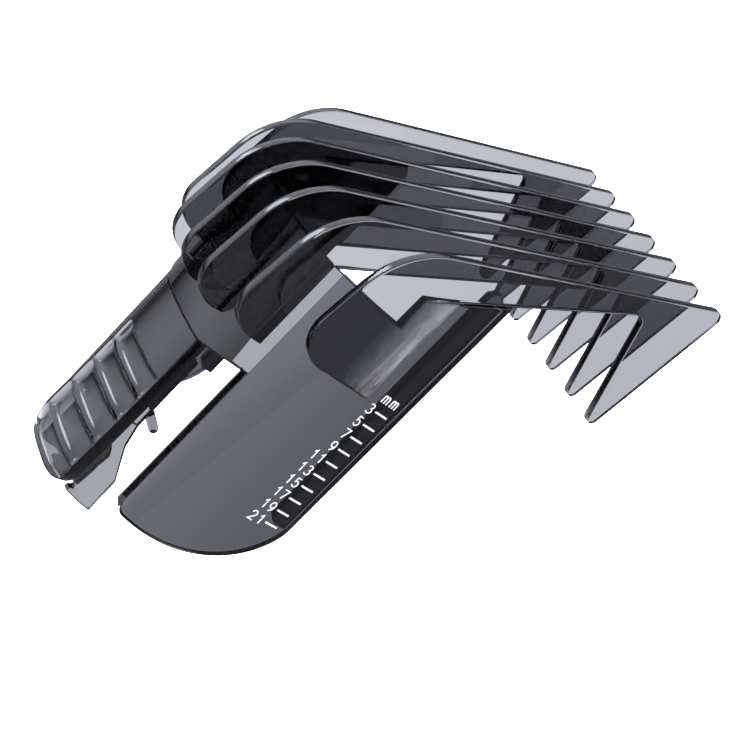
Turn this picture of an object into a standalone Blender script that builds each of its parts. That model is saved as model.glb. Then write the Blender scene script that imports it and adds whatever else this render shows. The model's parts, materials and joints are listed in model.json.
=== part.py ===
"""Adjustable guide comb for a hair clipper: a smoke-grey clip-on comb.

The comb is modelled in its own slide frame and then laid on a bench:
    X  slide direction, from the open end of the sleeve towards the comb tips
    Y  across the comb; -Y is the side that carries the length scale
    Z  outwards from the clipper's back; the clipper body lies at smaller Z
The frame's origin is where the straight comb arms end, on the middle fin.
Everything hangs from one empty, which tilts the comb onto its sleeve
corners and its tooth points, the way it rests on a shelf.
"""

import math

import bmesh
import bpy
import numpy as np
from mathutils import Vector

MM = 0.001
GAP = 0.3                     # clearance between neighbouring sub-parts

# Comb fins
FIN_COUNT = 7
FIN_PITCH = 6.0
FIN_THICKNESS = 1.25
ARM_ANGLE = math.radians(112.4)      # arm's outer edge, from the slide axis
ARM_START = 0.9                      # where the arm's outer edge line meets Z = 0
TOOTH_POINT = (-24.1, 2.3)           # sharp corner of the hair-lifting tooth
TOOTH_ROOT = (-6.0, 9.8)             # where the tooth leaves the arm
TIP_CORNER = (1.25, -0.85)
UNDERSIDE_SLOPE = 1.805              # arm's inner edge, from the tooth root
TIP_RADIUS = 1.3
TOOTH_RADIUS = 0.9
TOOTH_ROOT_RADIUS = 1.2
SHOULDER_RADIUS = 11.0
ROOT_RADIUS = 4.7
BACK_RISE = 0.12                     # fin back rises this much per mm towards its root
FIN_BACK = 56.3                      # height of the middle fin's root corner
FIN_BACK_DROP = 9.2                  # how much lower the outermost fins are
FIN_ROOT = -40.4                     # end of the middle fin along the slide axis
FIN_ROOT_DROP = 5.0                  # how much shorter the outermost fins are
CROWN_POWER = 2.8                    # how the fins fall away across the comb

# Sleeve: a thin wall whose section is half a superellipse
HALF_WIDTH = 19.0
FRONT = 27.0                         # height of the sleeve's front edges
CROWN = 23.0                         # from the front edges up to the crown
SECTION_POWER = 2.5
WALL = 2.2
ARCH_TOP = -25.7
ARCH_BOTTOM = -44.6
ARCH_SIDE_BOTTOM = -43.5
ARCH_SIDE = 37.3                     # the arch's side edges stand on the plates here
SLEEVE_END = -66.7
SLOT_EDGE = 13.6                     # inner edge of each side plate, from the middle
SLOT_END = -42.6
PLATE_CORNER = (12.0, 18.0)          # rounded front corner: along X, along Z
PLATE_BACK_CORNER = 1.2
SLOT_LIP = 1.4                       # how far the wall's inside runs on past the slot edge

# Guide rails inside the side plates
RAIL_DEPTH = 1.2
RAIL_HEIGHT = 2.4
RAIL_SPAN = (-54.6, -15.4)
RAIL_CHAMFER = 0.9

# Springy thumb tongue
TONGUE_HALF_WIDTH = 7.15
TONGUE_END = -71.2
TONGUE_END_ROUND = 3.4
TONGUE_FLARE = 0.8
TONGUE_WALL = 2.4
RIDGES = (-51.5, -55.1, -58.9, -63.0, -67.3)
SCOOP_DEPTH = 0.75
RIB_INSET = 2.3                      # ribs and latch cheeks: inner face from the middle
RIB_OUTSET = 3.5
RIB_SPAN = (-60.0, -46.5)
RIB_EDGE = 43.9
PEG_RADIUS = 0.7
PEG_LENGTH = 3.0
PEG_LEAN = math.radians(37.0)        # from -Z towards -X
PEG_ROOT = (-58.0, 43.5)

SCALE_SIDE = -1
PLAIN_SIDE = 1


# ---------------------------------------------------------------- small tools

def clear_scene():
    for obj in list(bpy.data.objects):
        bpy.data.objects.remove(obj, do_unlink=True)


def smoke_plastic(name, tint):
    material = bpy.data.materials.new(name)
    material.use_nodes = True
    shader = material.node_tree.nodes["Principled BSDF"]
    shader.inputs["Base Color"].default_value = (*tint, 1.0)
    shader.inputs["Roughness"].default_value = 0.08
    shader.inputs["Metallic"].default_value = 0.0
    material.diffuse_color = (*tint, 1.0)
    return material


def add_object(name, vertices, faces, tint, parent):
    """One closed solid from points in millimetres."""
    mesh = bpy.data.meshes.new(name)
    mesh.from_pydata([[MM * value for value in vertex] for vertex in vertices], [], faces)
    work = bmesh.new()
    work.from_mesh(mesh)
    bmesh.ops.recalc_face_normals(work, faces=work.faces)
    work.to_mesh(mesh)
    work.free()
    mesh.shade_smooth()
    mesh.set_sharp_from_angle(angle=math.radians(35.0))
    mesh.materials.append(smoke_plastic(name, tint))
    obj = bpy.data.objects.new(name, mesh)
    bpy.context.scene.collection.objects.link(obj)
    obj.parent = parent
    return obj


def add_cutter(name, vertices, faces, parent):
    cutter = add_object(name, vertices, faces, (0.5, 0.5, 0.5), parent)
    cutter.hide_render = True
    cutter.display_type = 'WIRE'
    return cutter


def cut(obj, cutter):
    modifier = obj.modifiers.new("cut", 'BOOLEAN')
    modifier.operation = 'DIFFERENCE'
    modifier.solver = 'EXACT'
    modifier.object = cutter


def rounded(corners, steps_per_turn=40):
    """Outline in X and Z through corners (x, z, radius), with arcs in the corners."""
    outline = []
    for index, (x, z, radius) in enumerate(corners):
        corner = Vector((x, z))
        before = Vector(corners[index - 1][:2]) - corner
        after = Vector(corners[(index + 1) % len(corners)][:2]) - corner
        if radius == 0.0:
            outline.append(tuple(corner))
            continue
        before.normalize()
        after.normalize()
        half = before.angle(after) / 2.0
        centre = corner + (before + after).normalized() * (radius / math.sin(half))
        start = corner + before * (radius / math.tan(half)) - centre
        end = corner + after * (radius / math.tan(half)) - centre
        sweep = math.atan2(start.x * end.y - start.y * end.x, start.dot(end))
        steps = max(2, round(abs(sweep) / math.tau * steps_per_turn))
        for step in range(steps + 1):
            angle = math.atan2(start.y, start.x) + sweep * step / steps
            outline.append((centre.x + radius * math.cos(angle), centre.y + radius * math.sin(angle)))
    return outline


def prism(outline, low, high):
    """Outline in X and Z, drawn out along Y from low to high."""
    count = len(outline)
    vertices = [(x, low, z) for x, z in outline] + [(x, high, z) for x, z in outline]
    faces = [(i, (i + 1) % count, count + (i + 1) % count, count + i) for i in range(count)]
    faces.append(tuple(range(count)))
    faces.append(tuple(range(count, 2 * count)))
    return vertices, faces


def grid_solid(outer, inner):
    """Closed sheet between two equal grids of points: grid[column][row]."""
    columns = len(outer)
    rows = len(outer[0])
    vertices = [point for column in outer for point in column]
    offset = len(vertices)
    vertices += [point for column in inner for point in column]
    faces = []
    for i in range(columns - 1):
        for j in range(rows - 1):
            quad = (i * rows + j, (i + 1) * rows + j, (i + 1) * rows + j + 1, i * rows + j + 1)
            faces.append(quad)
            faces.append(tuple(offset + k for k in reversed(quad)))
    rim = [i * rows for i in range(columns)]
    rim += [(columns - 1) * rows + j for j in range(1, rows)]
    rim += [i * rows + rows - 1 for i in range(columns - 2, -1, -1)]
    rim += [j for j in range(rows - 2, 0, -1)]
    for a, b in zip(rim, rim[1:] + rim[:1]):
        faces.append((a, offset + a, offset + b, b))
    return vertices, faces


# ------------------------------------------------------------ sleeve geometry

def section_height(across, grow=0.0):
    """Height of the sleeve's outer surface at a distance from the middle."""
    ratio = min(abs(across) / (HALF_WIDTH + grow), 1.0)
    return FRONT + (CROWN + grow) * (1.0 - ratio ** SECTION_POWER) ** (1.0 / SECTION_POWER)


def section_path(side, low, high, count):
    """Evenly spaced outer and inner points of the wall on one side of the comb.

    The path starts at height low on that side and runs towards the middle. It
    ends at the distance high from the middle, or at height low on the far side.
    """
    turn = np.linspace(0.0, math.pi, 2001)
    power = 2.0 / SECTION_POWER
    across = HALF_WIDTH * np.sign(np.cos(turn)) * np.abs(np.cos(turn)) ** power
    height = FRONT + CROWN * np.sin(turn) ** power
    keep = (across >= high) & (height >= low)
    across = across[keep]
    height = height[keep]
    length = np.concatenate([[0.0], np.cumsum(np.hypot(np.diff(across), np.diff(height)))])
    even = np.linspace(0.0, length[-1], count)
    across = np.interp(even, length, across)
    height = np.interp(even, length, height)
    slope_y = np.gradient(across, even)
    slope_z = np.gradient(height, even)
    size = np.hypot(slope_y, slope_z)
    inner_y = across - WALL * slope_z / size
    inner_z = np.maximum(height + WALL * slope_y / size, low)
    outer = list(zip(side * across, height))
    inner = list(zip(side * inner_y, inner_z))
    return outer, inner, even


def wall_sheet(outer, inner, starts, ends):
    """Wall along X: each column of the section runs from its start to its end."""
    outer_grid = [[(x0, y, z), (x1, y, z)] for (y, z), x0, x1 in zip(outer, starts, ends)]
    inner_grid = [[(x0, y, z), (x1, y, z)] for (y, z), x0, x1 in zip(inner, starts, ends)]
    return grid_solid(outer_grid, inner_grid)


def underside(height):
    """X of the fins' inner edge at a height above the tooth root."""
    return TOOTH_ROOT[0] - (height - TOOTH_ROOT[1]) / UNDERSIDE_SLOPE


def add_back_arch(parent, tint):
    outer, inner, _ = section_path(1, ARCH_SIDE, -HALF_WIDTH, 49)
    starts = []
    for y, _z in outer:
        across = abs(y)
        if across < TONGUE_HALF_WIDTH + GAP:
            starts.append(ARCH_BOTTOM)
        elif across < SLOT_EDGE:
            share = (across - TONGUE_HALF_WIDTH) / (SLOT_EDGE - TONGUE_HALF_WIDTH)
            starts.append(ARCH_BOTTOM + share * (SLOT_END - ARCH_BOTTOM))
        else:
            starts.append(ARCH_SIDE_BOTTOM)
    ends = [ARCH_TOP] * len(outer)
    add_object("back_arch", *wall_sheet(outer, inner, starts, ends), tint, parent)


def plate_start(height, edge_distance):
    """X of the plate's free end: an elliptic front corner and a round back corner."""
    start = SLEEVE_END
    along, up = PLATE_CORNER
    drop = (FRONT + up - height) / up
    if drop > 0.0:
        start += along * (1.0 - math.sqrt(max(0.0, 1.0 - drop * drop)))
    if edge_distance < PLATE_BACK_CORNER:
        near = 1.0 - edge_distance / PLATE_BACK_CORNER
        start += PLATE_BACK_CORNER * (1.0 - math.sqrt(1.0 - near * near))
    return start


def run_on(before, last, distance):
    """The point a distance past last, straight on from before."""
    step = Vector(last) - Vector(before)
    return tuple(Vector(last) + step.normalized() * distance)


def add_side_plate(name, side, parent, tint):
    """L-shaped plate: a broad free end, and a narrow strip that runs up beside the arch."""
    outer, inner, distance = section_path(side, FRONT, SLOT_EDGE, 27)
    inner[-1] = run_on(inner[-2], inner[-1], SLOT_LIP)
    starts = [plate_start(z, distance[-1] - d) for (_y, z), d in zip(outer, distance)]
    ends = [underside(z) - 1.3 * GAP for _y, z in outer]
    plate = add_object(name, *wall_sheet(outer, inner, starts, ends), tint, parent)
    x0 = ARCH_SIDE_BOTTOM - GAP
    z0 = ARCH_SIDE - GAP
    notch = [(x0, z0), (0.0, z0), (0.0, FRONT + 2.0 * CROWN), (x0, FRONT + 2.0 * CROWN)]
    reach = 2.0 * HALF_WIDTH
    cutter = add_cutter(name + "_notch", *prism(notch, -reach, reach), parent)
    cut(plate, cutter)


def add_guide_rail(name, side, parent, tint):
    """Straight rail on the inside of a side plate, with chamfered ends."""
    x0, x1 = RAIL_SPAN
    z0 = FRONT + GAP
    z1 = z0 + RAIL_HEIGHT
    c = RAIL_CHAMFER
    outline = [(x0, z0), (x1 - c, z0), (x1, z0 + c), (x1, z1 - c)]
    outline += [(x1 - c, z1), (x0 + c, z1), (x0, z1 - c)]
    y0 = side * (HALF_WIDTH - WALL - GAP)
    y1 = y0 - side * RAIL_DEPTH
    add_object(name, *prism(outline, y0, y1), tint, parent)


# --------------------------------------------------------------- comb geometry

def fin_outline(across):
    """Side view of one fin: tip, tooth, arm, foot on the arch, round root, shoulder."""
    share = (abs(across) / (FIN_PITCH * (FIN_COUNT // 2))) ** CROWN_POWER
    back = FIN_BACK - FIN_BACK_DROP * share
    root = FIN_ROOT + FIN_ROOT_DROP * share
    foot = ARCH_TOP + GAP
    inside = section_height(abs(across) + FIN_THICKNESS / 2.0) - WALL
    floor = max(ARCH_SIDE + GAP, TOOTH_ROOT[1] - UNDERSIDE_SLOPE * (foot - TOOTH_ROOT[0]))
    outer_fin = inside < ARCH_SIDE
    if outer_fin:
        floor = ARCH_SIDE + GAP
        inside = floor
    run = math.tan(ARM_ANGLE - math.pi / 2.0)
    shoulder_z = (back - BACK_RISE * (ARM_START - root)) / (1.0 - BACK_RISE * run)
    shoulder_x = ARM_START - run * shoulder_z
    corners = [(*TIP_CORNER, TIP_RADIUS), (*TOOTH_POINT, TOOTH_RADIUS), (*TOOTH_ROOT, TOOTH_ROOT_RADIUS)]
    corners.append((underside(floor), floor, 0.6 if outer_fin else 0.0))
    if not outer_fin:
        corners.append((foot - WALL, inside, 0.0))
    corners.append((root, inside, 0.0))
    corners.append((root, back, ROOT_RADIUS))
    corners.append((shoulder_x, shoulder_z, SHOULDER_RADIUS))
    return rounded(corners)


def arch_cutter(parent):
    """Everything under the arch's outer surface, up to the arch's top edge."""
    power = 2.0 / SECTION_POWER
    width = HALF_WIDTH + GAP
    height = CROWN + GAP
    section = []
    for step in range(61):
        turn = math.pi * step / 60
        y = width * math.copysign(abs(math.cos(turn)) ** power, math.cos(turn))
        section.append((y, FRONT + height * abs(math.sin(turn)) ** power))
    count = len(section)
    low = SLEEVE_END
    high = ARCH_TOP + GAP
    vertices = [(low, y, z) for y, z in section] + [(high, y, z) for y, z in section]
    faces = [(i, (i + 1) % count, count + (i + 1) % count, count + i) for i in range(count)]
    faces.append(tuple(range(count)))
    faces.append(tuple(range(count, 2 * count)))
    return add_cutter("arch_cutter", vertices, faces, parent)


def add_fins(parent, tint):
    cutter = arch_cutter(parent)
    middle = (FIN_COUNT - 1) / 2.0
    for index in range(FIN_COUNT):
        across = (middle - index) * FIN_PITCH
        low = across - FIN_THICKNESS / 2.0
        high = across + FIN_THICKNESS / 2.0
        fin = add_object(f"comb_fin_{index + 1}", *prism(fin_outline(across), low, high), tint, parent)
        cut(fin, cutter)


# ------------------------------------------------------------- tongue geometry

def tongue_flare(x):
    """The tongue leans outwards a little towards its free end."""
    share = (ARCH_BOTTOM - x) / (ARCH_BOTTOM - TONGUE_END)
    return TONGUE_FLARE * share * share


def scoop(x, y):
    """Depth of the thumb grip's scoops at a point of the tongue's outside."""
    edges = (*RIDGES, TONGUE_END - 1.0)
    fade = 1.0 - (abs(y) / TONGUE_HALF_WIDTH) ** 6
    for top, bottom in zip(edges, edges[1:]):
        if bottom < x < top:
            return SCOOP_DEPTH * fade * math.sin(math.pi * (top - x) / (top - bottom))
    return 0.0


def tongue_rows(end):
    """X of the tongue's rows: plain root, then four rows to each scoop."""
    edges = (ARCH_BOTTOM - GAP, *RIDGES, TONGUE_END)
    rows = []
    for top, bottom in zip(edges, edges[1:]):
        rows += [top + (bottom - top) * step / 4 for step in range(4)]
    rows.append(TONGUE_END)
    return [max(x, end + 0.02 * (x - TONGUE_END)) for x in rows]


def add_tongue(parent, hinge, tint):
    columns = 13
    outer = []
    inner = []
    for i in range(columns):
        y = TONGUE_HALF_WIDTH * (2.0 * i / (columns - 1) - 1.0)
        ratio = abs(y) / TONGUE_HALF_WIDTH
        end = TONGUE_END + TONGUE_END_ROUND * (1.0 - math.sqrt(max(0.0, 1.0 - ratio ** 5)))
        crown = section_height(y)
        top = []
        bottom = []
        for x in tongue_rows(end):
            curl = max(0.0, 1.0 - (x - end) / 2.0)
            top.append((x, y, crown + tongue_flare(x) - scoop(x, y) - 0.7 * curl * curl))
            bottom.append((x, y, crown + tongue_flare(x) - TONGUE_WALL))
        outer.append(top)
        inner.append(bottom)
    add_moving("thumb_tongue", *grid_solid(outer, inner), tint, hinge)


def add_moving(name, vertices, faces, tint, hinge):
    """A piece of the tongue, drawn in the slide frame but turning with the hinge."""
    shifted = [tuple(value - base for value, base in zip(vertex, HINGE)) for vertex in vertices]
    return add_object(name, shifted, faces, tint, hinge)


def rib_top(x):
    """Upper edge of the ribs and the cheeks, just below the tongue's inner face."""
    return section_height(RIB_OUTSET) + tongue_flare(x) - TONGUE_WALL - GAP


def add_rib(name, side, hinge, tint):
    low, high = RIB_SPAN
    steps = 6
    top = [high + (low - high) * step / steps for step in range(steps + 1)]
    outline = [(x, rib_top(x)) for x in top]
    outline += [(low, RIB_EDGE), (high - 2.0, RIB_EDGE)]
    vertices, faces = prism(outline, side * RIB_INSET, side * RIB_OUTSET)
    add_moving(name, vertices, faces, tint, hinge)


def add_cheek(name, side, hinge, tint):
    """One cheek of the latch under the tongue's end, with a small outward hook."""
    start = RIB_SPAN[0] - GAP
    outline = [(x, rib_top(x)) for x in (start, -63.0, -66.0, -68.5, -70.7)]
    outline += [(-70.9, 45.9), (-71.3, 44.9), (-71.9, 44.6), (-72.1, 45.2), (-72.7, 45.3)]
    outline += [(-73.0, 44.2), (-73.6, 41.9), (-73.9, 40.3), (-68.4, 40.4)]
    outline += [(-66.9, 41.2), (-63.3, 43.1), (start, RIB_EDGE)]
    vertices, faces = prism(outline, side * RIB_INSET, side * RIB_OUTSET)
    add_moving(name, vertices, faces, tint, hinge)


def add_peg(hinge, tint):
    """Short round-ended peg under one rib."""
    profile = [(0.0, 0.0), (PEG_RADIUS, 0.0)]
    straight = PEG_LENGTH - PEG_RADIUS
    profile += [(PEG_RADIUS * math.cos(a), straight + PEG_RADIUS * math.sin(a))
                for a in (math.radians(18.0 * k) for k in range(5))]
    profile.append((0.0, PEG_LENGTH))
    sides = 16
    x0, z0 = PEG_ROOT
    y0 = SCALE_SIDE * (RIB_INSET + RIB_OUTSET) / 2.0
    along = Vector((-math.sin(PEG_LEAN), 0.0, -math.cos(PEG_LEAN)))
    wide = Vector((math.cos(PEG_LEAN), 0.0, -math.sin(PEG_LEAN)))
    deep = Vector((0.0, 1.0, 0.0))
    base = Vector((x0, y0, z0))
    vertices = [tuple(base)]
    for radius, height in profile[1:-1]:
        for k in range(sides):
            angle = math.tau * k / sides
            point = base + along * height + radius * (wide * math.cos(angle) + deep * math.sin(angle))
            vertices.append(tuple(point))
    vertices.append(tuple(base + along * PEG_LENGTH))
    last = len(vertices) - 1
    rings = len(profile) - 2
    faces = []
    for k in range(sides):
        n = (k + 1) % sides
        faces.append((0, 1 + k, 1 + n))
        for ring in range(rings - 1):
            a = 1 + ring * sides
            faces.append((a + k, a + sides + k, a + sides + n, a + n))
        a = 1 + (rings - 1) * sides
        faces.append((a + k, last, a + n))
    add_moving("locating_peg", vertices, faces, tint, hinge)


# ----------------------------------------------------------------- rest pose

def slide_frame_points(frame):
    """All solid points, in the slide frame, keyed by object name."""
    bpy.context.view_layer.update()
    graph = bpy.context.evaluated_depsgraph_get()
    back = frame.matrix_world.inverted()
    points = {}
    for obj in bpy.context.scene.objects:
        if obj.type != 'MESH' or obj.hide_render:
            continue
        solid = obj.evaluated_get(graph)
        place = back @ obj.matrix_world
        points[obj.name] = np.array([place @ vertex.co for vertex in solid.data.vertices])
    return points


def lowest(points, tilt):
    """Lowest height of the points once the slide axis is tilted up by tilt."""
    return float(np.min(points[:, 0] * math.sin(tilt) + points[:, 2] * math.cos(tilt)))


def lay_on_bench(frame):
    """Tilt and place the comb so that sleeve corners and tooth points share the floor."""
    points = slide_frame_points(frame)
    sleeve = np.concatenate([points["side_plate_scale"], points["side_plate_plain"]])
    fins = np.concatenate([points[f"comb_fin_{k + 1}"] for k in range(FIN_COUNT)])
    flat, steep = 0.0, math.radians(60.0)
    for _ in range(40):
        tilt = (flat + steep) / 2.0
        if lowest(sleeve, tilt) > lowest(fins, tilt):
            flat = tilt
        else:
            steep = tilt
    everything = np.concatenate(list(points.values()))
    forward = everything[:, 0] * math.cos(tilt) - everything[:, 2] * math.sin(tilt)
    middle = (forward.min() + forward.max()) / 2.0
    frame.rotation_euler = (0.0, -tilt, 0.0)
    frame.location = (-middle, 0.0, -lowest(everything, tilt))


# ----------------------------------------------------------------------- comb

HINGE = (ARCH_BOTTOM - GAP / 2.0, 0.0, section_height(0.0) - WALL / 2.0)


def build_comb():
    clear_scene()
    frame = bpy.data.objects.new("comb_frame", None)
    bpy.context.scene.collection.objects.link(frame)
    hinge = bpy.data.objects.new("tongue_hinge", None)
    bpy.context.scene.collection.objects.link(hinge)
    hinge.parent = frame
    hinge.location = [MM * value for value in HINGE]

    add_back_arch(frame, (0.16, 0.165, 0.18))
    add_side_plate("side_plate_scale", SCALE_SIDE, frame, (0.13, 0.135, 0.15))
    add_side_plate("side_plate_plain", PLAIN_SIDE, frame, (0.13, 0.135, 0.15))
    add_guide_rail("guide_rail_scale", SCALE_SIDE, frame, (0.08, 0.08, 0.1))
    add_guide_rail("guide_rail_plain", PLAIN_SIDE, frame, (0.08, 0.08, 0.1))
    add_fins(frame, (0.36, 0.37, 0.4))
    add_tongue(frame, hinge, (0.2, 0.2, 0.23))
    add_rib("tongue_rib_scale", SCALE_SIDE, hinge, (0.5, 0.5, 0.53))
    add_rib("tongue_rib_plain", PLAIN_SIDE, hinge, (0.5, 0.5, 0.53))
    add_cheek("latch_cheek_scale", SCALE_SIDE, hinge, (0.55, 0.55, 0.58))
    add_cheek("latch_cheek_plain", PLAIN_SIDE, hinge, (0.55, 0.55, 0.58))
    add_peg(hinge, (0.4, 0.4, 0.42))
    lay_on_bench(frame)


build_comb()
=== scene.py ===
"""Looks of the clip-on guide comb: clear smoke-grey plastic on a white, back-lit table.

Every piece is drawn in the comb's slide frame, in millimetres, as the comb was designed:
    X  slide direction, from the open end of the sleeve towards the comb tips
    Y  across the comb; -Y is the side that carries the length scale
    Z  outwards from the clipper's back; the clipper body lies at smaller Z
slide_frame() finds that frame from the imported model's tongue joint and rail mount.
"""

import bisect
import json
import math

import bmesh
import bpy
import numpy as np
from mathutils import Matrix, Vector


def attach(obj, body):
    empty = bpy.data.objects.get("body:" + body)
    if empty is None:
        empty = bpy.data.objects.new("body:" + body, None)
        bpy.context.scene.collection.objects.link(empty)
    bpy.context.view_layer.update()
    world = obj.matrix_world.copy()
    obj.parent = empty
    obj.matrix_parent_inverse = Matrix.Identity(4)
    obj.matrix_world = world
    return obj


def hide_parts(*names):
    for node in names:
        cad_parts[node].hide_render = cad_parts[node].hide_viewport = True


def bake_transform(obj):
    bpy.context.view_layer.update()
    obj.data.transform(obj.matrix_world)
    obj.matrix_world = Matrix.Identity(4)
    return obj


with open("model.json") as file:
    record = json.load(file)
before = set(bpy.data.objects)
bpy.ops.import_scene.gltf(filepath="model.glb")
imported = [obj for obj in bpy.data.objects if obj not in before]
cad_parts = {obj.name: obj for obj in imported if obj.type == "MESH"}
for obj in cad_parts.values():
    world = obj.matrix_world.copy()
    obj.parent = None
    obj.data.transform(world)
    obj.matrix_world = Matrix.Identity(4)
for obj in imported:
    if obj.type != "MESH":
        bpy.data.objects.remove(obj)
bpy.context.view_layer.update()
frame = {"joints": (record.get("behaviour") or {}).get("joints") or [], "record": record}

MM = 0.001
WELD = 0.05                   # how far neighbouring pieces of the moulding run into each other

# Comb fins
FIN_COUNT = 7
FIN_PITCH = 6.0
FIN_THICKNESS = 1.25
ARM_ANGLE = math.radians(112.4)
ARM_START = 0.9
TOOTH_POINT = (-24.1, 2.3)
TOOTH_ROOT = (-6.0, 9.8)
TIP_CORNER = (1.25, -0.85)
UNDERSIDE_SLOPE = 1.805
TIP_RADIUS = 1.3
TOOTH_RADIUS = 0.9
TOOTH_ROOT_RADIUS = 1.2
SHOULDER_RADIUS = 11.0
ROOT_RADIUS = 4.7
BACK_RISE = 0.12
FIN_BACK = 56.3
FIN_BACK_DROP = 9.2
FIN_ROOT = -40.4
FIN_ROOT_DROP = 5.0
CROWN_POWER = 2.8
FIN_EDGE = 0.2                # rounding of the fins' long edges
FIN_FOOT = 33.2               # how low the outermost fins reach before they sink into the sleeve
FIN_FOOT_RADIUS = 0.6

# Sleeve
HALF_WIDTH = 19.0
FRONT = 27.0
CROWN = 23.0
SECTION_POWER = 2.5
WALL = 2.2
ARCH_WALL = 1.6               # the wall is thinner between the slots' lines
WALL_EDGE = 0.35              # rounding of the sleeve's edges
ARCH_TOP = -25.7
ARCH_BOTTOM = -44.6
ARCH_SIDE = 37.3
SLEEVE_END = -66.7
SLOT_EDGE = 13.6
SLOT_END = -42.6
PLATE_CORNER = (12.0, 18.0)
PLATE_BACK_CORNER = 1.2
SLOT_LIP = 1.4                # how far the wall's inside runs on past the slot edge
STEP = 0.02                   # half the gap between double columns
COLUMN_SPACING = 0.3
RIM_INSET = 0.02              # the slot rims, near-black with painted shade, keep this far inside the wall

# Guide rails
RAIL_DEPTH = 1.3
RAIL_HEIGHT = 2.55
RAIL_SPAN = (-56.0, -15.4)
RAIL_CHAMFER = 0.9
RAIL_LIFT = 0.15              # above the sleeve's front edges
RAIL_CORNER = 0.25
RAIL_EDGE = 0.15

# Thumb tongue
TONGUE_HALF_WIDTH = 7.15
TONGUE_END = -71.2
TONGUE_END_ROUND = 3.4
TONGUE_END_POWER = 5          # how squarely the free end is rounded
TONGUE_FLARE = 0.8
TONGUE_WALL = 2.4
TONGUE_EDGE = 0.3
TONGUE_SPACING = 0.22         # between the columns of the tongue's sheet
END_CURL = 2.0                # stretch over which the outside turns down at the free end
END_DROP = 0.5                # how far it turns down
HINGE_X = ARCH_BOTTOM - 0.15  # hinge line, where the tongue leaves the arch
HINGE_Z = FRONT + CROWN - WALL / 2.0
GRIP_RIM = (0.25, 1.1)        # plain rim beside the scoops: scale side, plain side
RIDGES = (-51.5, -55.1, -58.9, -63.0, -67.3)
GRIP_END = 0.6                # plain rim beyond the last scoop
SCOOP_DEPTH = 0.75
SCOOP_SIDE = 0.9              # how far in from the side rims a scoop is at full depth
SCOOP_RISE = 13.0             # how steeply a scoop leaves its ridges
SCOOP_ROWS = 18
RIB_INSET = 2.3
RIB_OUTSET = 3.5
RIB_SPAN = (-60.0, -46.5)
RIB_EDGE = 43.9
RIB_LEAN = 2.0                # how far the ribs' root ends lean back
CHEEK_OVERLAP = 0.1           # the cheeks start this far inside the ribs' ends
UNDERWORK_EDGE = 0.15         # rounding of the ribs and the cheeks
PEG_RADIUS = 0.7
PEG_LENGTH = 3.0
PEG_LEAN = math.radians(37.0)
PEG_ROOT = (-58.0, 43.5)
PEG_RUN_ON = 0.3              # how far the peg's root runs on towards its rib
PEG_SIDES = 40

# Printed length scale
SCALE_START = -35.95
SCALE_STEP = 2.217
SCALE_LABELS = range(3, 22, 2)
TICK_HEIGHTS = (29.05, 31.05)
TICK_WIDTH = 0.25
DIGIT_SIZE = (0.85, 1.42)     # width and height
DIGIT_GAP = 0.36
STROKE = 0.16
LABEL_HEIGHT = 31.55          # height at which each number ends
UNIT_RISE = 2.15              # the unit stands this far beyond the first number
UNIT_READINGS = (0.7, 2.15)   # where its two letters end
INK_THICKNESS = 0.03
INK_SUNK = 0.01

SCALE_SIDE = -1
PLAIN_SIDE = 1
SIDE_NAMES = {SCALE_SIDE: "scale", PLAIN_SIDE: "plain"}

# Plastic
PLASTIC_TINT = (0.985, 0.988, 0.995, 1.0)
PLASTIC_IOR = 1.5
SMOKE_TINT = (0.0, 0.005, 0.05, 1.0)
WALL_SMOKE = 1560.0           # absorption per metre
FIN_SMOKE = 1550.0
LATCH_SMOKE = 1850.0
# painted shade: the slot rims' plastic absorbs about six times as much as the wall, so they show as
# near-black bands
RIM_PAINTED_SHADE = 9000.0
SHARP_ANGLE = math.radians(38.0)

# Light
BACK_LIGHT = 4.5
ROOM_TINT = (0.86, 0.89, 1.0, 1.0)
MIRRORED_TABLE = 0.08         # what the plastic's surfaces reflect of the table and the room
MIRRORED_WALLS = 0.06
MIRRORED_CEILING = 2.4
MIRRORED_LAMP = 9.0           # small lamp that draws the thin lines on ridges and shoulders
LAMP_DIRECTION = Vector((-0.164, 0.732, 0.661)).normalized()
LAMP_EDGE = (0.972, 0.992)    # cosines of the angles where the lamp starts and is full

# Camera, in the slide frame
CAMERA_BACK = Vector((0.22700, -0.73181, 0.64259))
CAMERA_UP = Vector((0.69029, 0.58635, 0.42391))
CAMERA_AIM = Vector((-37.73, -0.652, 19.327))
CAMERA_DISTANCE = 222.0
LENS = 79.2
SENSOR = 36.0

# Table, in metres
TABLE_HALF = 3.0
TABLE_GAP = 0.0002


# ---------------------------------------------------------------- slide frame

def slide_frame():
    """Matrix from the slide frame, in millimetres, to the model, in metres."""
    mount = next(m for m in frame["record"]["mounts"] if m["name"] == "rail_front_scale")
    up = -Vector(mount["axis"]).normalized()
    across = Vector((0.0, 1.0, 0.0))
    forward = across.cross(up)
    turn = Matrix((forward, across, up)).transposed()
    joint = Vector(frame["joints"][0]["pos_m"])
    origin = joint - turn @ (Vector((HINGE_X, 0.0, HINGE_Z)) * MM)
    return Matrix.Translation(origin) @ turn.to_4x4() @ Matrix.Scale(MM, 4)


SLIDE = slide_frame()


# ------------------------------------------------------------------ materials

def add_node(tree, kind, **settings):
    node = tree.nodes.new(kind)
    for name, value in settings.items():
        setattr(node, name, value)
    return node


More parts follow.
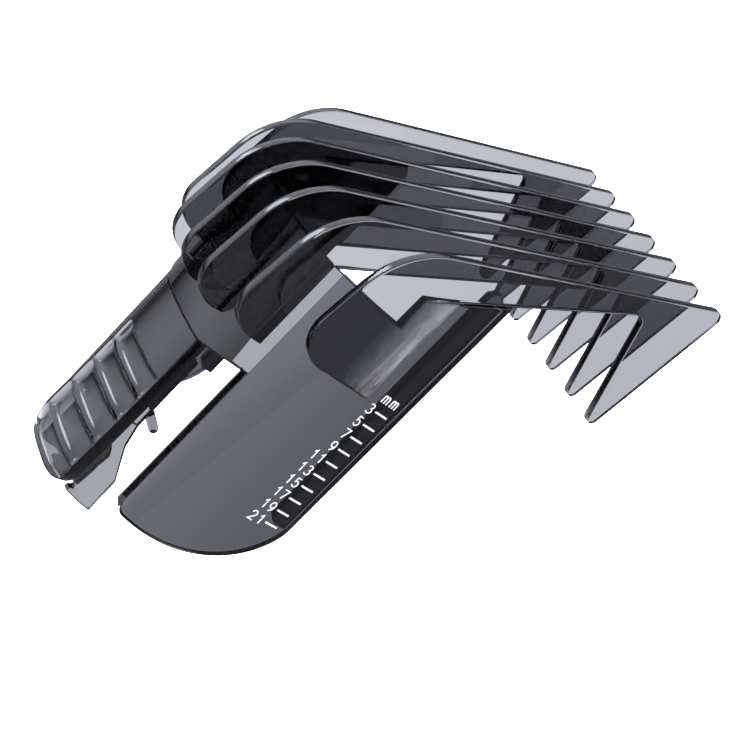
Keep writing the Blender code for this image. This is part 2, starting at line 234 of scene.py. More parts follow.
def flow_lines(tree, coordinates, waviness):
    """Normals that waver a little along the moulding's flow lines."""
    stretch = add_node(tree, "ShaderNodeMapping")
    stretch.inputs["Scale"].default_value = (45.0, 190.0, 120.0)
    noise = add_node(tree, "ShaderNodeTexNoise")
    noise.inputs["Scale"].default_value = 1.0
    noise.inputs["Detail"].default_value = 1.5
    bump = add_node(tree, "ShaderNodeBump")
    bump.inputs["Strength"].default_value = 0.06 * waviness
    bump.inputs["Distance"].default_value = 0.0003
    tree.links.new(coordinates, stretch.inputs["Vector"])
    tree.links.new(stretch.outputs["Vector"], noise.inputs["Vector"])
    tree.links.new(noise.outputs["Fac"], bump.inputs["Height"])
    return bump.outputs["Normal"]


def fine_scuffs(tree, coordinates):
    """Roughness that rises slightly in small scattered spots."""
    noise = add_node(tree, "ShaderNodeTexNoise")
    noise.inputs["Scale"].default_value = 1500.0
    noise.inputs["Detail"].default_value = 3.0
    haze = add_node(tree, "ShaderNodeMapRange")
    haze.inputs["From Min"].default_value = 0.5
    haze.inputs["From Max"].default_value = 0.85
    haze.inputs["To Min"].default_value = 0.0
    haze.inputs["To Max"].default_value = 0.02
    tree.links.new(coordinates, noise.inputs["Vector"])
    tree.links.new(noise.outputs["Fac"], haze.inputs["Value"])
    return haze.outputs["Result"]


def smoke_plastic(name, density, waviness=1.0):
    """Clear plastic that darkens light by its path, with moulding flow lines and fine scuffs."""
    material = bpy.data.materials.new(name)
    material.use_nodes = True
    tree = material.node_tree
    shader = tree.nodes["Principled BSDF"]
    shader.inputs["Base Color"].default_value = PLASTIC_TINT
    shader.inputs["Transmission Weight"].default_value = 1.0
    shader.inputs["IOR"].default_value = PLASTIC_IOR
    coordinates = add_node(tree, "ShaderNodeTexCoord").outputs["Object"]
    tree.links.new(fine_scuffs(tree, coordinates), shader.inputs["Roughness"])
    tree.links.new(flow_lines(tree, coordinates, waviness), shader.inputs["Normal"])
    smoke = add_node(tree, "ShaderNodeVolumeAbsorption")
    smoke.inputs["Color"].default_value = SMOKE_TINT
    smoke.inputs["Density"].default_value = density
    output = next(node for node in tree.nodes if node.type == 'OUTPUT_MATERIAL')
    tree.links.new(smoke.outputs["Volume"], output.inputs["Volume"])
    return material


def ink():
    """Slightly uneven white printing ink, with a little painted glow."""
    material = bpy.data.materials.new("white_ink_painted_glow")
    material.use_nodes = True
    tree = material.node_tree
    shader = tree.nodes["Principled BSDF"]
    shader.inputs["Roughness"].default_value = 0.55
    # painted light: the ink glows a little, so it stays white whatever light falls on it
    shader.inputs["Emission Color"].default_value = (1.0, 1.0, 1.0, 1.0)
    shader.inputs["Emission Strength"].default_value = 0.35
    grain = add_node(tree, "ShaderNodeTexNoise")
    grain.inputs["Scale"].default_value = 5000.0
    tint = add_node(tree, "ShaderNodeMapRange")
    tint.inputs["To Min"].default_value = 0.86
    tint.inputs["To Max"].default_value = 0.98
    tree.links.new(grain.outputs["Fac"], tint.inputs["Value"])
    tree.links.new(tint.outputs["Result"], shader.inputs["Base Color"])
    return material


def dim_in_reflections(tree, bright, dim):
    """A brightness node that is lower for whatever mirrors it."""
    path = add_node(tree, "ShaderNodeLightPath")
    choice = add_node(tree, "ShaderNodeMapRange")
    choice.inputs["To Min"].default_value = bright
    choice.inputs["To Max"].default_value = dim
    tree.links.new(path.outputs["Is Reflection Ray"], choice.inputs["Value"])
    return choice


def ramp(tree, source, start, end, low, high):
    """Smooth step of a socket's value between start and end."""
    step = add_node(tree, "ShaderNodeMapRange", interpolation_type='SMOOTHSTEP')
    step.inputs["From Min"].default_value = start
    step.inputs["From Max"].default_value = end
    step.inputs["To Min"].default_value = low
    step.inputs["To Max"].default_value = high
    tree.links.new(source, step.inputs["Value"])
    return step.outputs["Result"]


def mirrored_room(tree):
    """What mirrors see of the room: a soft ceiling, weaker in front, and a small lamp."""
    direction = add_node(tree, "ShaderNodeTexCoord")
    split = add_node(tree, "ShaderNodeSeparateXYZ")
    tree.links.new(direction.outputs["Generated"], split.inputs["Vector"])
    ceiling = ramp(tree, split.outputs["Z"], 0.0, 0.45, 0.0, MIRRORED_CEILING)
    depth = ramp(tree, split.outputs["Y"], -0.9, 0.3, 0.3, 1.0)
    aim = add_node(tree, "ShaderNodeVectorMath", operation='DOT_PRODUCT')
    aim.inputs[1].default_value = LAMP_DIRECTION
    tree.links.new(direction.outputs["Generated"], aim.inputs[0])
    lamp = ramp(tree, aim.outputs["Value"], *LAMP_EDGE, MIRRORED_WALLS, MIRRORED_LAMP)
    room = add_node(tree, "ShaderNodeMath", operation='MULTIPLY_ADD')
    for source, target in zip((ceiling, depth, lamp), room.inputs):
        tree.links.new(source, target)
    return room.outputs["Value"]


def back_lit_table():
    """White tabletop that shines as brightly as the room behind it."""
    material = bpy.data.materials.new("back_lit_table")
    material.use_nodes = True
    tree = material.node_tree
    shader = tree.nodes["Principled BSDF"]
    shader.inputs["Base Color"].default_value = (0.14, 0.14, 0.14, 1.0)
    shader.inputs["Roughness"].default_value = 0.9
    shader.inputs["Specular IOR Level"].default_value = 0.0
    shader.inputs["Emission Color"].default_value = (1.0, 1.0, 1.0, 1.0)
    light = dim_in_reflections(tree, BACK_LIGHT, MIRRORED_TABLE)
    tree.links.new(light.outputs["Result"], shader.inputs["Emission Strength"])
    return material


# ------------------------------------------------------------------- building

def add_piece(name, vertices, faces, flat_faces, material):
    """One closed solid from points in the slide frame."""
    mesh = bpy.data.meshes.new(name)
    mesh.from_pydata([SLIDE @ Vector(vertex) for vertex in vertices], [], faces)
    mesh.polygons.foreach_set("use_smooth", [index not in flat_faces for index in range(len(faces))])
    work = bmesh.new()
    work.from_mesh(mesh)
    bmesh.ops.recalc_face_normals(work, faces=work.faces)
    work.to_mesh(mesh)
    work.free()
    mesh.set_sharp_from_angle(angle=SHARP_ANGLE)
    mesh.materials.append(material)
    obj = bpy.data.objects.new(name, mesh)
    bpy.context.scene.collection.objects.link(obj)
    return obj


def rounded(corners, steps_per_turn=180):
    """Outline in X and Z through corners (x, z, radius), with arcs in the corners."""
    outline = []
    for index, (x, z, radius) in enumerate(corners):
        corner = Vector((x, z))
        before = Vector(corners[index - 1][:2]) - corner
        after = Vector(corners[(index + 1) % len(corners)][:2]) - corner
        if radius == 0.0:
            outline.append(corner)
            continue
        before.normalize()
        after.normalize()
        half = before.angle(after) / 2.0
        centre = corner + (before + after).normalized() * (radius / math.sin(half))
        start = corner + before * (radius / math.tan(half)) - centre
        end = corner + after * (radius / math.tan(half)) - centre
        sweep = math.atan2(start.x * end.y - start.y * end.x, start.dot(end))
        steps = max(3, round(abs(sweep) / math.tau * steps_per_turn))
        for step in range(steps + 1):
            angle = math.atan2(start.y, start.x) + sweep * step / steps
            outline.append(centre + radius * Vector((math.cos(angle), math.sin(angle))))
    return outline


def inset(outline, distance):
    """The outline moved inwards by a distance."""
    area = sum(a.x * b.y - b.x * a.y for a, b in zip(outline, outline[1:] + outline[:1]))
    turn = 1.0 if area > 0.0 else -1.0
    moved = []
    count = len(outline)
    for index, point in enumerate(outline):
        before = (point - outline[index - 1]).normalized()
        after = (outline[(index + 1) % count] - point).normalized()
        normal_before = Vector((-before.y, before.x)) * turn
        normal_after = Vector((-after.y, after.x)) * turn
        middle = normal_before + normal_after
        moved.append(point + middle * (2.0 * distance / middle.length_squared))
    return moved


def quarter_turn(steps=4):
    """A rounded edge from rim to face: how far in each step is, and how much is left to rise."""
    turns = [math.pi / 2.0 * step / steps for step in range(steps + 1)]
    return [(1.0 - math.cos(turn), 1.0 - math.sin(turn)) for turn in turns]


def ring_faces(count, rings, first=0):
    """Faces between rings of points that follow one another."""
    faces = []
    for ring in range(rings - 1):
        a = first + ring * count
        for i in range(count):
            n = (i + 1) % count
            faces.append((a + i, a + n, a + count + n, a + count + i))
    return faces


def rounded_prism(outline, low, high, edge):
    """Outline in X and Z drawn out along Y, with its long edges rounded."""
    slices = [(low + edge * along, edge * left) for along, left in quarter_turn()]
    slices += [(high - edge * along, edge * left) for along, left in reversed(quarter_turn())]
    vertices = []
    for y, narrowing in slices:
        vertices += [(p.x, y, p.y) for p in inset(outline, narrowing)]
    count = len(outline)
    faces = ring_faces(count, len(slices))
    flat = {len(faces), len(faces) + 1}
    faces.append(tuple(range(count)))
    faces.append(tuple(range(len(vertices) - count, len(vertices))))
    return vertices, faces, flat


def side_prism(outline, side, near, far, edge):
    """Rounded prism on one side of the comb, between two distances from the middle."""
    low, high = sorted((side * near, side * far))
    return rounded_prism(outline, low, high, edge)


def closed_sheet(outer, inner):
    """Closed sheet between two equal grids of points: grid[column][row]."""
    columns = len(outer)
    rows = len(outer[0])
    vertices = [point for column in outer for point in column]
    offset = len(vertices)
    vertices += [point for column in inner for point in column]
    faces = []
    for i in range(columns - 1):
        for j in range(rows - 1):
            quad = (i * rows + j, (i + 1) * rows + j, (i + 1) * rows + j + 1, i * rows + j + 1)
            faces.append(quad)
            faces.append(tuple(offset + k for k in reversed(quad)))
    rim = [i * rows for i in range(columns)]
    rim += [(columns - 1) * rows + j for j in range(1, rows)]
    rim += [i * rows + rows - 1 for i in range(columns - 2, -1, -1)]
    rim += list(range(rows - 2, 0, -1))
    for a, b in zip(rim, rim[1:] + rim[:1]):
        faces.append((a, offset + a, offset + b, b))
    return vertices, faces, set()


def cut(obj, vertices, faces):
    """Cuts a shape out of a piece for good, and keeps the faces square to Y flat."""
    cutter = add_piece("cutter", vertices, faces, set(), obj.data.materials[0])
    modifier = obj.modifiers.new("cut", 'BOOLEAN')
    modifier.operation = 'DIFFERENCE'
    modifier.solver = 'EXACT'
    modifier.object = cutter
    graph = bpy.context.evaluated_depsgraph_get()
    mesh = bpy.data.meshes.new_from_object(obj.evaluated_get(graph), depsgraph=graph)
    for polygon in mesh.polygons:
        polygon.use_smooth = abs(polygon.normal.y) < 0.9999
    obj.modifiers.clear()
    obj.data = mesh
    bpy.data.objects.remove(cutter)


def place(obj, body, slot, *nodes):
    """Puts a piece on its body in place of the plain nodes that it dresses; the slot is not used."""
    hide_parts(*nodes)
    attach(obj, body)


# ------------------------------------------------------------ sleeve geometry

def half_section(grow=0.0, steps=1440):
    """Points (y, z) of the sleeve's outer surface, from the scale side to the plain side."""
    power = 2.0 / SECTION_POWER
    points = []
    for step in range(steps + 1):
        turn = math.pi * step / steps
        y = (HALF_WIDTH + grow) * -math.copysign(abs(math.cos(turn)) ** power, math.cos(turn))
        points.append(Vector((y, FRONT + (CROWN + grow) * abs(math.sin(turn)) ** power)))
    return points


class Section:
    """The sleeve's outer surface, measured along its curve from the scale side's front edge."""

    def __init__(self, even_steps=1200):
        points = half_section()
        self.y = np.array([p.x for p in points])
        self.z = np.array([p.y for p in points])
        steps = np.hypot(np.diff(self.y), np.diff(self.z))
        self.s = np.concatenate([[0.0], np.cumsum(steps)])
        self.length = self.s[-1]
        self.even = np.linspace(0.0, self.length, even_steps)
        slope_y = np.gradient(np.interp(self.even, self.s, self.y), self.even)
        slope_z = np.gradient(np.interp(self.even, self.s, self.z), self.even)
        size = np.hypot(slope_y, slope_z)
        self.normal_y = -slope_z / size
        self.normal_z = slope_y / size

    def point(self, s, depth):
        """The point (y, z) at a distance along the curve and a depth under the surface."""
        y = np.interp(s, self.s, self.y)
        z = np.interp(s, self.s, self.z)
        normal_y = np.interp(s, self.even, self.normal_y)
        normal_z = np.interp(s, self.even, self.normal_z)
        return float(y - depth * normal_y), float(z - depth * normal_z)

    def at_height(self, side, height):
        """Distance along the curve at which one side reaches a height."""
        half = len(self.s) // 2
        s = float(np.interp(height, self.z[:half], self.s[:half]))
        return s if side == SCALE_SIDE else self.length - s

    def at_across(self, y):
        """Distance along the curve of the point at Y."""
        return float(np.interp(y, self.y, self.s))


SECTION = Section()


def rounding_rows(start, end, edge):
    """Rows (x, share of the edge rounding) from one end of a sheet to the other."""
    rows = [(start + edge * along, left) for along, left in quarter_turn()]
    rows.append(((start + end) / 2.0, 0.0))
    rows += [(end - edge * along, left) for along, left in reversed(quarter_turn())]
    return rows


def wall_sheet(columns, spans, shares, walls):
    """Wall along X: each column of the section runs over its span; shares round the long edges."""
    outer = []
    inner = []
    for s, (start, end), share, wall in zip(columns, spans, shares, walls):
        top = []
        bottom = []
        for x, row_share in rounding_rows(start, end, WALL_EDGE):
            drop = WALL_EDGE * (1.0 - (1.0 - share) * (1.0 - row_share))
            top.append((x, *SECTION.point(s, drop)))
            bottom.append((x, *SECTION.point(s, wall - drop)))
        outer.append(top)
        inner.append(bottom)
    return closed_sheet(outer, inner)


def underside(height):
    """X of the fins' inner edge at a height above the tooth root."""
    return TOOTH_ROOT[0] - (height - TOOTH_ROOT[1]) / UNDERSIDE_SLOPE


def plate_start(from_slot, height):
    """X of the plate's free end: an elliptic front corner and a round back corner."""
    start = SLEEVE_END
    along, up = PLATE_CORNER
    drop = min(1.0, (FRONT + up - height) / up)
    if drop > 0.0:
        start += along * (1.0 - math.sqrt(1.0 - drop * drop))
    if from_slot < PLATE_BACK_CORNER:
        near = min(1.0, 1.0 - from_slot / PLATE_BACK_CORNER)
        start += PLATE_BACK_CORNER * (1.0 - math.sqrt(1.0 - near * near))
    return start


def edge_share(distance, edge):
    """How far a rounded edge has dropped at a distance from a sheet's rim, as a share."""
    tilt = max(0.0, 1.0 - distance / edge)
    return 1.0 - math.sqrt(1.0 - tilt * tilt)


def edge_marks(edge):
    """Distances from a sheet's rim, close together over its rounded edge."""
    return [edge * along for along, _ in quarter_turn()[:-1]]


def even_marks(stops, spacing):
    """Distances from each stop to the next, about a spacing apart, without the last."""
    marks = []
    for start, end in zip(stops, stops[1:]):
        count = max(1, round((end - start) / spacing))
        marks += [start + (end - start) * k / count for k in range(count)]
    return marks


def mirrored(marks, length):
    """Marks over half a sheet, carried on over its other half."""
    return marks + [length / 2.0] + [length - mark for mark in reversed(marks)]


def sleeve_span(s, seam, slot):
    """Where the sleeve starts and ends along X: broad plates, side strips and the arch."""
    y, height = SECTION.point(s, 0.0)
    from_front = min(s, SECTION.length - s)
    if from_front > slot:
        share = max(0.0, abs(y) - TONGUE_HALF_WIDTH) / (SLOT_EDGE - TONGUE_HALF_WIDTH)
        start = ARCH_BOTTOM + share * (SLOT_END - ARCH_BOTTOM)
    else:
        start = plate_start(slot - from_front, height)
    return start, underside(height) if from_front < seam else ARCH_TOP


def add_sleeve(material):
    """Back arch and side plates in one sheet, with double columns where its ends step."""
    seam = SECTION.at_height(SCALE_SIDE, ARCH_SIDE)
    slot = SECTION.at_across(-SLOT_EDGE)
    stops = (WALL_EDGE, seam - STEP, seam + STEP, slot - STEP, slot + STEP, SECTION.length / 2.0)
    columns = mirrored(edge_marks(WALL_EDGE) + even_marks(stops, COLUMN_SPACING), SECTION.length)
    spans = [sleeve_span(s, seam, slot) for s in columns]
    shares = [edge_share(min(s, SECTION.length - s), WALL_EDGE) for s in columns]
    walls = [ARCH_WALL if slot < s < SECTION.length - slot else WALL for s in columns]
    sleeve = add_piece("moulded_sleeve", *wall_sheet(columns, spans, shares, walls), material)
    place(sleeve, "comb", "sleeve", "back_arch", "side_plate_scale", "side_plate_plain")


def add_slot_rim(side, material):
    """Wedge along a slot's edge, where the wall's inside runs on past its outside; its near-black
    plastic is painted shade for the dark band along the edge.
    """
    slot = SECTION.at_across(side * SLOT_EDGE)
    root = slot + side * WELD
    wedge = [SECTION.point(root, RIM_INSET), SECTION.point(root, WALL - RIM_INSET)]
    wedge.append(SECTION.point(slot - side * SLOT_LIP, WALL))
    ends = (SLEEVE_END + PLATE_BACK_CORNER / 2.0, SLOT_END)
    vertices = [(x, y, z) for x in ends for y, z in wedge]
    faces = [(0, 1, 2), (3, 5, 4), (0, 3, 4, 1), (1, 4, 5, 2), (2, 5, 3, 0)]
    rim = add_piece("painted_shade_slot_rim_" + SIDE_NAMES[side], vertices, faces, set(), material)
    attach(rim, "comb")


def add_guide_rail(side, material):
    """Bar inside a side plate's front edge, with three corners cut at a slant."""
    x0, x1 = RAIL_SPAN
    z0 = FRONT + RAIL_LIFT
    z1 = z0 + RAIL_HEIGHT
    c = RAIL_CHAMFER
    corners = [(x0, z0), (x1 - c, z0), (x1, z0 + c), (x1, z1 - c)]
    corners += [(x1 - c, z1), (x0 + c, z1), (x0, z1 - c)]
    outline = rounded([(x, z, RAIL_CORNER) for x, z in corners])
    wall = HALF_WIDTH - WALL + WELD
    prism = side_prism(outline, side, wall - RAIL_DEPTH, wall, RAIL_EDGE)
    rail = add_piece("moulded_rail_" + SIDE_NAMES[side], *prism, material)
    place(rail, "comb", "rails", "guide_rail_" + SIDE_NAMES[side])


# --------------------------------------------------------------- comb geometry

def fin_outline(across):
    """Side view of one fin: tip, tooth, arm, foot on the arch, round root, shoulder."""
    share = (abs(across) / (FIN_PITCH * (FIN_COUNT // 2))) ** CROWN_POWER
    back = FIN_BACK - FIN_BACK_DROP * share
    root = FIN_ROOT + FIN_ROOT_DROP * share
    foot = ARCH_TOP - WELD
    inside = SECTION.point(SECTION.at_across(abs(across) + FIN_THICKNESS / 2.0), WALL)[1]
    outer_fin = inside < ARCH_SIDE
    if outer_fin:
        floor = FIN_FOOT
        inside = FIN_FOOT
    else:
        floor = TOOTH_ROOT[1] - UNDERSIDE_SLOPE * (foot - TOOTH_ROOT[0])
    run = math.tan(ARM_ANGLE - math.pi / 2.0)
    shoulder_z = (back - BACK_RISE * (ARM_START - root)) / (1.0 - BACK_RISE * run)
    shoulder_x = ARM_START - run * shoulder_z
    corners = [(*TIP_CORNER, TIP_RADIUS), (*TOOTH_POINT, TOOTH_RADIUS), (*TOOTH_ROOT, TOOTH_ROOT_RADIUS)]
    corners.append((underside(floor), floor, FIN_FOOT_RADIUS if outer_fin else 0.0))
    if not outer_fin:
        corners.append((foot - WALL, inside, 0.0))
    corners += [(root, inside, 0.0), (root, back, ROOT_RADIUS)]
    corners.append((shoulder_x, shoulder_z, SHOULDER_RADIUS))
    return rounded(corners)


def sleeve_body(end_at, top):
    """Everything under the sleeve's outer surface, up to the X of end_at(height), below a top."""
    points = [p for p in half_section(-WELD, 240) if p.y <= top]
    count = len(points)
    vertices = [(SLEEVE_END, p.x, p.y) for p in points]
    vertices += [(end_at(p.y), p.x, p.y) for p in points]
    faces = ring_faces(count, 2)
    faces.append(tuple(range(count)))
    faces.append(tuple(range(count, 2 * count)))
    return vertices, faces


def add_fins(material):
    """Seven fins, cut to stand on the sleeve; the outermost two also run down its sides."""
    under_arch = sleeve_body(lambda height: ARCH_TOP - WELD, FRONT + CROWN)
    side_strips = sleeve_body(underside, ARCH_SIDE)
    middle = (FIN_COUNT - 1) / 2.0
    for index in range(FIN_COUNT):
        across = (middle - index) * FIN_PITCH
        low = across - FIN_THICKNESS / 2.0
        high = across + FIN_THICKNESS / 2.0
        prism = rounded_prism(fin_outline(across), low, high, FIN_EDGE)
        fin = add_piece(f"moulded_fin_{index + 1}", *prism, material)
        cut(fin, *under_arch)
        if index in (0, FIN_COUNT - 1):
            cut(fin, *side_strips)
        place(fin, "comb", "fins", f"comb_fin_{index + 1}")


# ------------------------------------------------------------- tongue geometry

def tongue_flare(x):
    """The tongue leans outwards a little towards its free end."""
    share = (ARCH_BOTTOM - x) / (ARCH_BOTTOM - TONGUE_END)
    return TONGUE_FLARE * share * share


def scoop(x, y):
    """Depth of the grip's scoops: broad flutes with a narrow ridge between each two."""
    edges = (*RIDGES, TONGUE_END + GRIP_END)
    step = bisect.bisect_left([-edge for edge in edges], -x)
    if step in (0, len(edges)):
        return 0.0
    top = edges[step - 1]
    bottom = edges[step]
    share = (top - x) / (top - bottom)
    rim = GRIP_RIM[0] if y < 0.0 else GRIP_RIM[1]
    room = TONGUE_HALF_WIDTH - rim - abs(y)
    side = math.sin(math.pi / 2.0 * min(1.0, max(0.0, room) / SCOOP_SIDE))
    fall = 1.0 - math.exp(-SCOOP_RISE * share)
    rise = 1.0 - math.exp(-SCOOP_RISE * (1.0 - share))
    return SCOOP_DEPTH * side * fall * rise


def tongue_rows(end):
    """Rows (x, share of the edge rounding): plain root, the scoops, then the rounded end."""
    edges = (ARCH_BOTTOM + WELD, *RIDGES, end + TONGUE_EDGE)
    shares = [(1.0 - math.cos(math.pi * step / SCOOP_ROWS)) / 2.0 for step in range(SCOOP_ROWS)]
    rows = []
    for top, bottom in zip(edges, edges[1:]):
        rows += [(top + (bottom - top) * share, 0.0) for share in shares]
    rows += [(end + TONGUE_EDGE * along, left) for along, left in reversed(quarter_turn())]
    return rows


def tongue_column(across, half):
    """Outer and inner points of the tongue along the slide, at a distance from its middle."""
    s = SECTION.length / 2.0 + across
    side_share = edge_share(half - abs(across), TONGUE_EDGE)
    narrowing = 1.0 - math.sqrt(max(0.0, 1.0 - (abs(across) / half) ** TONGUE_END_POWER))
    end = TONGUE_END + TONGUE_END_ROUND * narrowing
    flat_y = SECTION.point(s, 0.0)[0]
    outside = []
    inside = []
    for x, end_share in tongue_rows(end):
        drop = TONGUE_EDGE * (1.0 - (1.0 - side_share) * (1.0 - end_share))
        curl = END_DROP * max(0.0, 1.0 - (x - end) / END_CURL) ** 2
        depth = drop + scoop(x, flat_y) + curl - tongue_flare(x)
        outside.append((x, *SECTION.point(s, depth)))
        inside.append((x, *SECTION.point(s, TONGUE_WALL - drop - tongue_flare(x))))
    return outside, inside


def add_tongue(material):
    """The tongue as one sheet, in place of the plain thumb tongue."""
    half = SECTION.at_across(TONGUE_HALF_WIDTH) - SECTION.length / 2.0
    marks = edge_marks(TONGUE_EDGE) + even_marks((TONGUE_EDGE, half), TONGUE_SPACING)
    columns = [tongue_column(mark - half, half) for mark in mirrored(marks, 2.0 * half)]
    tongue = add_piece("moulded_tongue", *closed_sheet(*zip(*columns)), material)
    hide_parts("thumb_tongue")
    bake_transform(tongue)


def rib_top(x):
    """Upper edge of the ribs and the cheeks, just inside the tongue's inner face."""
    edge = SECTION.point(SECTION.at_across(RIB_OUTSET), TONGUE_WALL)[1]
    return edge + tongue_flare(x) + WELD


def add_rib(side, material):
    """Upright rib under the tongue, which stiffens it between its root and the latch."""
    low, high = RIB_SPAN
    steps = 12
    top = [high + (low - high) * step / steps for step in range(steps + 1)]
    outline = [Vector((x, rib_top(x))) for x in top]
    outline += [Vector((low, RIB_EDGE)), Vector((high - RIB_LEAN, RIB_EDGE))]
    prism = side_prism(outline, side, RIB_INSET, RIB_OUTSET, UNDERWORK_EDGE)
    rib = add_piece("moulded_rib_" + SIDE_NAMES[side], *prism, material)
    place(rib, "tongue", "underwork", "tongue_rib_" + SIDE_NAMES[side])


def add_cheek(side, material):
    """One cheek of the latch: it follows the tongue's end, then turns down to a notched point."""
    start = RIB_SPAN[0] + CHEEK_OVERLAP
    corners = [(x, rib_top(x), 0.0) for x in (start, -63.0, -66.0, -68.5, -70.7)]
    corners += [(-70.9, 45.9, 0.1), (-71.3, 44.9, 0.15), (-71.9, 44.6, 0.2), (-72.1, 45.2, 0.1)]
    corners += [(-72.7, 45.3, 0.25), (-73.0, 44.2, 0.5), (-73.6, 41.9, 1.0), (-73.9, 40.3, 0.3)]
    corners += [(-68.4, 40.4, 0.4), (-66.9, 41.2, 0.8), (-63.3, 43.1, 1.0), (start, RIB_EDGE, 0.0)]
    prism = side_prism(rounded(corners, 90), side, RIB_INSET, RIB_OUTSET, UNDERWORK_EDGE)
    cheek = add_piece("moulded_cheek_" + SIDE_NAMES[side], *prism, material)
    place(cheek, "tongue", "underwork", "latch_cheek_" + SIDE_NAMES[side])


def add_peg(material):
    """Short round-ended peg under one rib."""
    profile = [(PEG_RADIUS, -PEG_RUN_ON), (PEG_RADIUS, 0.0)]
    for step in range(8):
        turn = math.pi / 2.0 * step / 8
        height = PEG_LENGTH - PEG_RADIUS + PEG_RADIUS * math.sin(turn)
        profile.append((PEG_RADIUS * math.cos(turn), height))
    base = Vector((PEG_ROOT[0], SCALE_SIDE * (RIB_INSET + RIB_OUTSET) / 2.0, PEG_ROOT[1]))
    along = Vector((-math.sin(PEG_LEAN), 0.0, -math.cos(PEG_LEAN)))
    wide = Vector((math.cos(PEG_LEAN), 0.0, -math.sin(PEG_LEAN)))
    deep = Vector((0.0, 1.0, 0.0))
    vertices = [base - along * PEG_RUN_ON]
    for radius, height in profile:
        for k in range(PEG_SIDES):
            angle = math.tau * k / PEG_SIDES
            outwards = wide * math.cos(angle) + deep * math.sin(angle)
            vertices.append(base + along * height + radius * outwards)
    vertices.append(base + along * PEG_LENGTH)
    faces = ring_faces(PEG_SIDES, len(profile), first=1)
    last = len(vertices) - 1
    for k in range(PEG_SIDES):
        n = (k + 1) % PEG_SIDES
        faces.append((0, 1 + k, 1 + n))
        faces.append((last - PEG_SIDES + k, last - PEG_SIDES + n, last))
    peg = add_piece("moulded_peg", vertices, faces, set(), material)
    place(peg, "tongue", "underwork", "locating_peg")


# --------------------------------------------------------------- printed scale

def on_plate(reading, rise, lift):
    """Point on the scale plate: reading runs down the plate, rise runs along the slide."""
    s = SECTION.at_height(SCALE_SIDE, LABEL_HEIGHT) - reading
    return (rise, *SECTION.point(s, -lift))


def arc(x, y, across, up, first, last, steps=10):
    """Points on an ellipse from one angle to another, in degrees."""
    turns = [math.radians(first + (last - first) * k / steps) for k in range(steps + 1)]
    return [(x + across * math.cos(turn), y + up * math.sin(turn)) for turn in turns]


def draw_characters():
    """Strokes of each character of the scale, one unit high and about one unit wide."""
    bowl = arc(0.46, 0.33, 0.44, 0.33, 130.0, -150.0)
    hump = arc(0.36, 0.5, 0.26, 0.26, 180.0, 0.0)
    second_hump = [(x + 0.52, y) for x, y in hump]
    return {
        "1": [[(0.3, 0.74), (0.68, 1.0), (0.68, 0.0)]],
        "2": [arc(0.5, 0.71, 0.42, 0.29, 170.0, -35.0) + [(0.04, 0.0), (0.95, 0.0)]],
        "3": [arc(0.47, 0.76, 0.38, 0.24, 150.0, -80.0), arc(0.47, 0.27, 0.45, 0.27, 80.0, -150.0)],
        "5": [[(0.88, 1.0), (0.24, 1.0), (0.16, 0.56)] + bowl],
        "7": [[(0.05, 1.0), (0.95, 1.0), (0.36, 0.0)]],
        "9": [arc(0.49, 0.67, 0.41, 0.32, 0.0, 360.0, 18), arc(0.1, 0.62, 0.8, 0.64, 0.0, -75.0)],
        "m": [[(0.1, 0.0), (0.1, 0.76)], hump + [(0.62, 0.0)], second_hump + [(1.14, 0.0)]],
    }


CHARACTERS = draw_characters()


def ribbon(stroke, width):
    """Outline of a stroke: down its left side and back up its right side."""
    left = []
    right = []
    for index, point in enumerate(stroke):
        before = stroke[max(index - 1, 0)]
        after = stroke[min(index + 1, len(stroke) - 1)]
        into = (Vector(point) - Vector(before)).normalized()
        out = (Vector(after) - Vector(point)).normalized()
        turn = (into + out).normalized()
        reach = width / 2.0 / max(0.5, turn.dot(out if index == 0 else into))
        side = Vector((-turn.y, turn.x)) * reach
        left.append(Vector(point) + side)
        right.append(Vector(point) - side)
    return left, right


def add_print(name, strokes, width, material):
    """Ink ribbons on the plate, as one thin mesh; strokes hold points (reading, rise)."""
    vertices = []
    faces = []
    for stroke in strokes:
        left, right = ribbon(stroke, width)
        count = len(left)
        base = len(vertices)
        for lift in (-INK_SUNK, INK_THICKNESS):
            vertices += [on_plate(p.x, p.y, lift) for p in left + right]
        for a in range(base, base + count - 1):
            b = a + count
            c = a + 2 * count
            d = a + 3 * count
            faces += [(c, c + 1, d + 1, d), (a, b, b + 1, a + 1)]
            faces += [(a, a + 1, c + 1, c), (b, d, d + 1, b + 1)]
        for a in (base, base + count - 1):
            faces.append((a, a + count, a + 3 * count, a + 2 * count))
    obj = add_piece(name, vertices, faces, set(range(len(faces))), material)
    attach(obj, "comb")


def label_strokes(label, reading, rise):
    """Strokes of a label whose last character ends at a reading, centred on a rise."""
    width, height = DIGIT_SIZE
    start = reading - len(label) * width - (len(label) - 1) * DIGIT_GAP
    strokes = []
    for index, character in enumerate(label):
        left = start + index * (width + DIGIT_GAP)
        for stroke in CHARACTERS[character]:
            strokes.append([(left + x * width, rise + (y - 0.5) * height) for x, y in stroke])
    return strokes


def add_scale():
    """Ten marks with their numbers, and the unit beyond the first one."""
    material = ink()
    low, high = TICK_HEIGHTS
    for index, value in enumerate(SCALE_LABELS):
        rise = SCALE_START - SCALE_STEP * index
        tick = [(LABEL_HEIGHT - high, rise), (LABEL_HEIGHT - low, rise)]
        add_print(f"scale_tick_{value}", [tick], TICK_WIDTH, material)
        add_print(f"scale_number_{value}", label_strokes(str(value), 0.0, rise), STROKE, material)
    unit = []
    for reading in UNIT_READINGS:
        unit += label_strokes("m", reading, SCALE_START + UNIT_RISE)
    add_print("scale_unit", unit, STROKE, material)


# ----------------------------------------------------------------------- stage

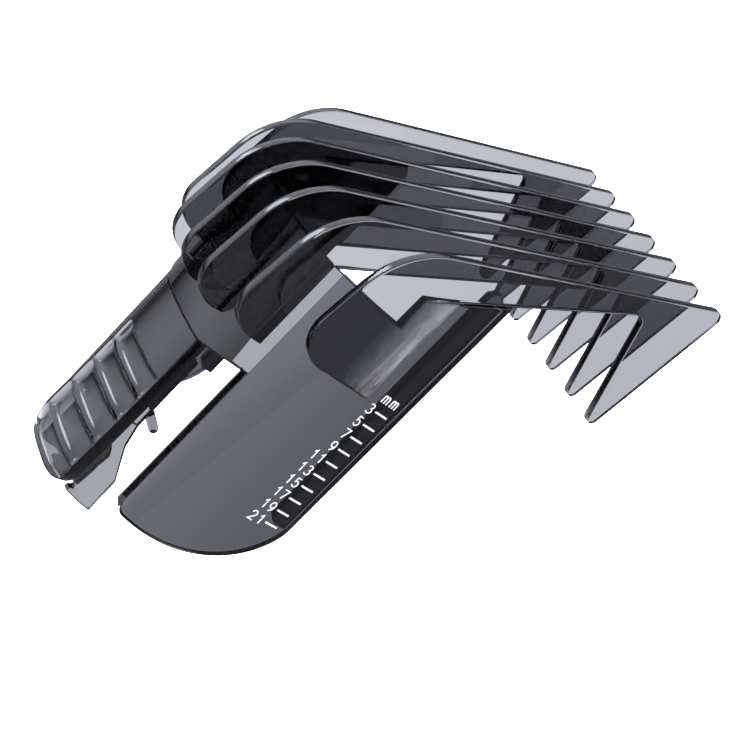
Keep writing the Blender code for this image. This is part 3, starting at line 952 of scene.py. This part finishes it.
def add_table():
    a = TABLE_HALF
    corners = [(-a, -a, 0.0), (a, -a, 0.0), (a, a, 0.0), (-a, a, 0.0)]
    mesh = bpy.data.meshes.new("table")
    mesh.from_pydata(corners, [], [(0, 1, 2, 3)])
    mesh.materials.append(back_lit_table())
    table = bpy.data.objects.new("table", mesh)
    table.location.z = -TABLE_GAP
    bpy.context.scene.collection.objects.link(table)


def add_world():
    world = bpy.data.worlds.new("white_studio")
    bpy.context.scene.world = world
    world.use_nodes = True
    tree = world.node_tree
    background = tree.nodes["Background"]
    background.inputs["Color"].default_value = ROOM_TINT
    light = dim_in_reflections(tree, BACK_LIGHT, MIRRORED_WALLS)
    tree.links.new(mirrored_room(tree), light.inputs["To Max"])
    tree.links.new(light.outputs["Result"], background.inputs["Strength"])


def add_camera():
    data = bpy.data.cameras.new("camera")
    data.lens = LENS
    data.sensor_width = SENSOR
    data.clip_start = 0.01
    data.clip_end = 10.0
    camera = bpy.data.objects.new("camera", data)
    bpy.context.scene.collection.objects.link(camera)
    turn = SLIDE.to_3x3().normalized()
    back = turn @ CAMERA_BACK.normalized()
    up = turn @ CAMERA_UP.normalized()
    right = up.cross(back).normalized()
    up = back.cross(right)
    eye = SLIDE @ (CAMERA_AIM + CAMERA_BACK.normalized() * CAMERA_DISTANCE)
    rotation = Matrix((right, up, back)).transposed().to_4x4()
    camera.matrix_world = Matrix.Translation(eye) @ rotation
    bpy.context.scene.camera = camera


def dress():
    """All the pieces of the comb, each in its plastic or ink."""
    wall = smoke_plastic("smoke_wall", WALL_SMOKE)
    fin = smoke_plastic("smoke_fin", FIN_SMOKE, 0.6)
    grip = smoke_plastic("smoke_grip", FIN_SMOKE, 0.8)
    latch = smoke_plastic("smoke_latch", LATCH_SMOKE)
    # painted shade: near-black plastic for the slot rims
    rim = smoke_plastic("painted_shade_plastic", RIM_PAINTED_SHADE)
    add_sleeve(wall)
    for side in (SCALE_SIDE, PLAIN_SIDE):
        add_slot_rim(side, rim)
        add_guide_rail(side, wall)
        add_rib(side, latch)
        add_cheek(side, latch)
    add_fins(fin)
    add_tongue(grip)
    add_peg(latch)
    add_scale()


add_camera()
add_world()
add_table()
dress()
bpy.context.scene.view_settings.view_transform = 'Standard'
bpy.context.scene.view_settings.look = 'None'
